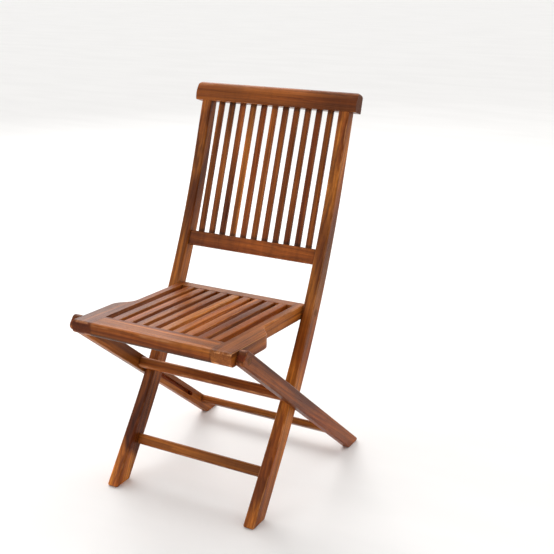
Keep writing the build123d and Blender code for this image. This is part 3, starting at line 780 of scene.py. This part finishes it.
class CHAIR_OT_rear_legs(bpy.types.Operator):
    """Finishes the rear legs and their two stretchers"""

    bl_idname = "chair.rear_legs"
    bl_label = "Rear Legs"

    def execute(self, context):
        low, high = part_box("right_leg_plug")
        halo = ((low.y + high.y) / 2, (low.z + high.z) / 2)
        dress("left_rear_leg", wood_material(
            "Left rear leg wood", Board("left_rear_leg"), cut=(0.4, 1.9, 2.6), halo=halo,
            groove=True, gold=0.55, streaks=0.5, figure=0.25, ring_width=0.007, wear=0.6))
        dress("right_rear_leg", wood_material(
            "Right rear leg wood", Board("right_rear_leg"), cut=(3.4, 5.9, 0.6), halo=halo,
            groove=True, gold=0.4, streaks=0.5, figure=0.3, ring_width=0.007, wear=0.6,
            stain=(0.95, 0.82, 0.86)))
        dress("upper_stretcher", wood_material(
            "Upper stretcher wood", Board("upper_stretcher", across=True), cut=(1.9, 2.4, 5.1),
            gold=0.6, streaks=0.5, figure=0.25, ring_width=0.006, shoulder=0.204, wear=0.6))
        dress("lower_stretcher", wood_material(
            "Lower stretcher wood", Board("lower_stretcher", across=True), cut=(5.9, 1.4, 3.1),
            gold=0.6, streaks=0.45, figure=0.25, ring_width=0.006, shoulder=0.204, wear=0.6))
        return {"FINISHED"}


class CHAIR_OT_pins(bpy.types.Operator):
    """Finishes the steel pivot pins, the crossing bolts and the sliding pins"""

    bl_idname = "chair.pins"
    bl_label = "Steel Pins"

    def execute(self, context):
        finish = context.scene.chair_finish
        material = bpy.data.materials.new("Plated steel")
        material.use_nodes = True
        tree = material.node_tree
        shader = tree.nodes["Principled BSDF"]
        place = node(tree, "ShaderNodeTexCoord").outputs["Object"]
        turned = noise(tree, place, (2500.0, 300.0, 300.0), 2.0)[0]
        dulled = noise(tree, place, (260.0, 260.0, 260.0), 4.0, 0.6)[0]
        tarnish = ramped(tree, dulled, 0.45, 0.70)
        put(shader.inputs["Base Color"], blend(
            tree, maths(tree, "MULTIPLY", tarnish, 0.6), finish.steel[:], (0.15, 0.10, 0.07)))
        put(shader.inputs["Roughness"], ramped(tree, dulled, 0.3, 0.7, 0.28, 0.55))
        height = maths(tree, "MULTIPLY", turned, 0.00002)
        put(shader.inputs["Normal"], node(
            tree, "ShaderNodeBump", {"Height": height, "Strength": 0.6, "Distance": 1.0}).outputs[0])
        shader.inputs["Metallic"].default_value = 1.0
        for name in ("seat_pivot_pin", "leg_pivot_pin", "crossing_bolt", "slot_pin"):
            for side in ("left", "right"):
                dress(f"{side}_{name}", material)
        return {"FINISHED"}


class CHAIR_OT_stage(bpy.types.Operator):
    """Lays the pale floor, hangs the soft lights and sets up the camera"""

    bl_idname = "chair.stage"
    bl_label = "Stage"

    def execute(self, context):
        stage = context.scene.chair_stage
        self.lay_floor(context, stage)
        self.hang_lights(context, stage)
        self.set_camera(context, stage)
        return {"FINISHED"}

    def lay_floor(self, context, stage):
        mesh = bpy.data.meshes.new("floor")
        half, drop = stage.floor_size / 2, FLOOR_DROP
        corners = [(-half, -half, drop), (half, -half, drop), (half, half, drop), (-half, half, drop)]
        mesh.from_pydata(corners, [], [(0, 1, 2, 3)])
        floor = bpy.data.objects.new("floor", mesh)
        context.scene.collection.objects.link(floor)
        material = bpy.data.materials.new("Pale floor")
        material.use_nodes = True
        tree = material.node_tree
        shader = tree.nodes["Principled BSDF"]
        place = node(tree, "ShaderNodeTexCoord").outputs["Object"]
        cloudy = noise(tree, place, (1.5, 6.0, 1.0), 3.0)[0]
        put(shader.inputs["Base Color"], blend(
            tree, ramped(tree, cloudy, 0.3, 0.7), stage.floor[:], tuple(c * 1.03 for c in stage.floor)))
        shader.inputs["Roughness"].default_value = 0.65
        mesh.materials.append(material)

    def hang_lights(self, context, stage):
        world = bpy.data.worlds.new("Soft room")
        world.use_nodes = True
        tree = world.node_tree
        background = tree.nodes["Background"]
        background.inputs["Color"].default_value = (1.0, 1.0, 1.0, 1.0)
        towards = node(tree, "ShaderNodeTexCoord").outputs["Generated"]
        camera_side = (math.sin(stage.azimuth), -math.cos(stage.azimuth), 0.0)
        front = vectors(tree, "DOT_PRODUCT", towards, camera_side)
        put(background.inputs["Strength"], ramped(
            tree, front, -0.05, 0.75, stage.sky, stage.sky * stage.shade))
        context.scene.world = world
        for name, size, place in LAMPS:
            lamp = bpy.data.lights.new(name, "AREA")
            lamp.shape = "DISK"
            lamp.size = size
            lamp.energy = getattr(stage, name)
            holder = bpy.data.objects.new(name, lamp)
            aim = (Vector(LAMPS_AIM) - Vector(place)).to_track_quat("-Z", "Y")
            holder.matrix_world = Matrix.Translation(place) @ aim.to_matrix().to_4x4()
            context.scene.collection.objects.link(holder)

    def set_camera(self, context, stage):
        azimuth, elevation, roll = stage.azimuth, stage.elevation, stage.roll
        right = Vector((math.cos(azimuth), math.sin(azimuth), 0.0))
        back = Vector((
            math.sin(azimuth) * math.cos(elevation), -math.cos(azimuth) * math.cos(elevation),
            math.sin(elevation)))
        up = back.cross(right)
        right, up = (
            right * math.cos(roll) + up * math.sin(roll), up * math.cos(roll) - right * math.sin(roll))
        target = Vector(CAMERA_TARGET)
        camera = bpy.data.objects.new("camera", bpy.data.cameras.new("camera"))
        camera.data.sensor_width = 36.0
        camera.data.lens = stage.lens
        camera.matrix_world = (
            Matrix.Translation(target + back * stage.distance)
            @ Matrix((right, up, back)).transposed().to_4x4())
        context.scene.collection.objects.link(camera)
        context.scene.camera = camera
        context.scene.view_settings.view_transform = "Standard"


class CHAIR_PT_build(bpy.types.Panel):
    """Buttons that build the chair, in order"""

    bl_idname = "CHAIR_PT_build"
    bl_label = "Folding Chair"
    bl_space_type = "VIEW_3D"
    bl_region_type = "UI"
    bl_category = "Chair"

    def draw(self, context):
        for operator in OPERATORS:
            self.layout.operator(operator.bl_idname)
        for settings in ("chair_slats", "chair_finish", "chair_stage"):
            group = getattr(context.scene, settings)
            box = self.layout.box()
            for name in group.bl_rna.properties.keys():
                if name not in ("rna_type", "name"):
                    box.prop(group, name)


OPERATORS = (
    CHAIR_OT_back_slats, CHAIR_OT_seat_slats, CHAIR_OT_plugs, CHAIR_OT_back_frame, CHAIR_OT_seat,
    CHAIR_OT_rear_legs, CHAIR_OT_pins, CHAIR_OT_stage)
SETTINGS = (ChairSlatSettings, ChairFinishSettings, ChairStageSettings)
CLASSES = (*SETTINGS, *OPERATORS, CHAIR_PT_build)


def register():
    for each in CLASSES:
        bpy.utils.register_class(each)
    bpy.types.Scene.chair_slats = bpy.props.PointerProperty(type=ChairSlatSettings)
    bpy.types.Scene.chair_finish = bpy.props.PointerProperty(type=ChairFinishSettings)
    bpy.types.Scene.chair_stage = bpy.props.PointerProperty(type=ChairStageSettings)


def unregister():
    del bpy.types.Scene.chair_stage
    del bpy.types.Scene.chair_finish
    del bpy.types.Scene.chair_slats
    for each in reversed(CLASSES):
        bpy.utils.unregister_class(each)


def corners(box):
    return [[float(value) for value in corner] for corner in box]


def main():
    register()
    bpy.ops.chair.back_slats()
    bpy.ops.chair.seat_slats()
    bpy.ops.chair.plugs()
    bpy.ops.chair.back_frame()
    bpy.ops.chair.seat()
    bpy.ops.chair.rear_legs()
    bpy.ops.chair.pins()
    bpy.ops.chair.stage()


if __name__ == "__main__":
    main()
